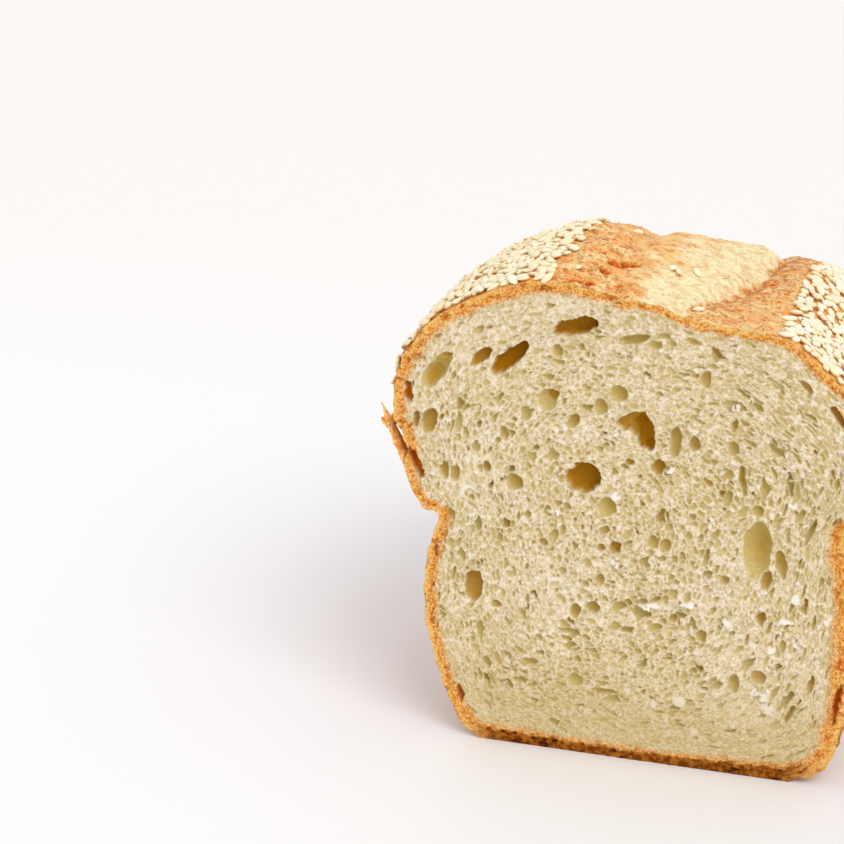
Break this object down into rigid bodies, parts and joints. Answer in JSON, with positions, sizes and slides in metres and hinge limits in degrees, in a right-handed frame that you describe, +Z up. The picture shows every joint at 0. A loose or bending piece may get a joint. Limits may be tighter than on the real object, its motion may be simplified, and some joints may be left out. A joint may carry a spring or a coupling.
{
  "type": "tin loaf",
  "caption": "Cut half of a white tin loaf with a domed, burst top strewn with sesame; a food prop that rests on its flat base with the open crumb facing out.",
  "frame": {"origin": "middle of the flat base that the loaf stands on, on the table plane", "axes": "+Z up; the cut face looks along -Y and the baked end along +Y; +X is the loaf's right when the cut face is looked at"},
  "size_m": [0.1191, 0.12, 0.1175],
  "materials": {
    "crust": "baked crust, golden brown, finely blistered, satin",
    "crumb": "open cream crumb, matt and slightly translucent",
    "sesame": "hulled sesame seeds, pale cream, faint satin"
  },
  "bodies": {
    "root": {"tin_loaf": "crust"}
  },
  "joints": []
}
